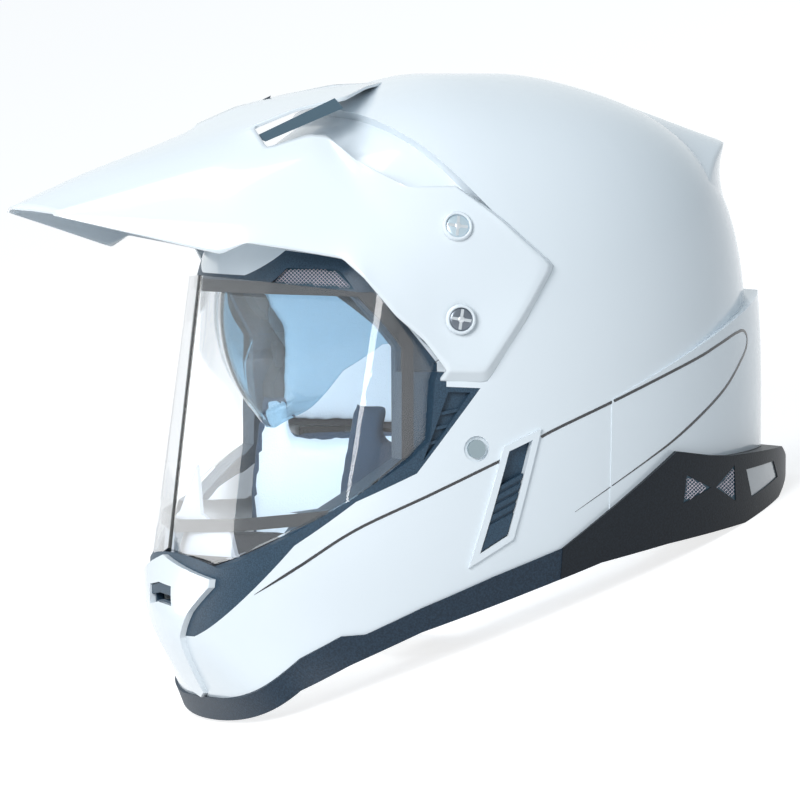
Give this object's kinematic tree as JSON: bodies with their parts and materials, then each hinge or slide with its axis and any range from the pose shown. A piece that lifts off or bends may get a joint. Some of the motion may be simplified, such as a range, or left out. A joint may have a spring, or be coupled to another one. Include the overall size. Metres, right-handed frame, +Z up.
{
  "type": "helmet",
  "caption": "White dual sport helmet with a faceted peak, clear visor, inner sun visor, vents, padded liner and ratchet chin strap",
  "frame": {"origin": "centre of the whole part's outline at the height of the table it rests on", "axes": "front of the helmet faces -Y, wearer's left is +X, up is +Z, resting nose up on its lower rim"},
  "size_m": [0.259, 0.3614, 0.2803],
  "materials": {
    "shell_white": "smooth glossy white lacquer over moulded plastic",
    "screw_silver": "satin silver",
    "screw_dark": "dark satin",
    "visor_clear": "clear polished polycarbonate",
    "sun_tint": "blue tinted polycarbonate",
    "frame_black": "fine textured matte black",
    "slider_black": "ribbed matte black",
    "seal_rubber": "soft matte rubber",
    "mesh_light": "fine light mesh",
    "guard_grey": "matte grey",
    "foam_dark": "fine beaded foam, coated dark",
    "liner_fabric": "soft dark knit",
    "pad_fabric": "soft blue grey knit with a stitched seam",
    "trim_grey": "satin dark grey",
    "trim_dark": "satin black",
    "reflector_grey": "grey prismatic reflector",
    "strap_web": "woven webbing",
    "buckle_steel": "satin steel"
  },
  "bodies": {
    "helmet": {"outer_shell": "shell_white", "rear_spoiler": "shell_white", "peak": "shell_white", "peak_screws_upper": "screw_silver", "peak_screws_lower": "screw_dark", "visor_pivot_plates": "frame_black", "eyeport_frame": "frame_black", "eyeport_seal": "seal_rubber", "brow_vent_mesh": "mesh_light", "side_vents": "frame_black", "chin_vent_cover": "shell_white", "breath_guard": "guard_grey", "chin_foam": "foam_dark", "eps_liner": "foam_dark", "comfort_liner": "liner_fabric", "neck_roll": "liner_fabric", "cheek_pad_left": "pad_fabric", "cheek_pad_right": "pad_fabric", "sun_visor_pins": "frame_black", "slider_bezel": "shell_white", "slider_track": "frame_black", "lower_trim": "trim_grey", "rear_diffuser": "trim_dark", "diffuser_mesh": "mesh_light", "diffuser_reflectors": "reflector_grey", "chin_strap_left": "strap_web", "chin_strap_right": "strap_web", "strap_rivets": "screw_silver", "buckle_base": "buckle_steel", "buckle_tongue": "frame_black"},
    "visor": {"visor_shield": "visor_clear"},
    "sun_shade": {"sun_visor": "sun_tint"},
    "slider": {"sun_visor_slider": "slider_black"},
    "shutter": {"chin_vent_shutter": "frame_black"},
    "buckle_lever": {"buckle_lever": "frame_black"}
  },
  "joints": [
    {"name": "visor_hinge", "type": "hinge", "parent": "helmet", "child": "visor", "pos_m": [0, -0.02023, 0.15814], "axis": [-1, 0, 0], "range_deg": [0, 40]},
    {"name": "sun_visor_hinge", "type": "hinge", "parent": "helmet", "child": "sun_shade", "pos_m": [0, -0.02023, 0.15814], "axis": [-1, 0, 0], "range_deg": [0, 56]},
    {"name": "sun_visor_slide", "type": "slide", "parent": "helmet", "child": "slider", "axis": [0.1213, 0.5804, 0.8052], "range_m": [0, 0.016]},
    {"name": "chin_vent_slide", "type": "slide", "parent": "helmet", "child": "shutter", "axis": [0, -0.3909, -0.9204], "range_m": [0, 0.004]},
    {"name": "buckle_lever_hinge", "type": "hinge", "parent": "helmet", "child": "buckle_lever", "pos_m": [0.0175, -0.06708, 0.01585], "axis": [0, 0.928, -0.3725], "range_deg": [0, 65], "stiffness_Nm_per_rad": 0.05}
  ],
  "couplings": [
    {"joint": "sun_visor_slide", "follows": "sun_visor_hinge", "m_per_rad": 0.01629}
  ]
}
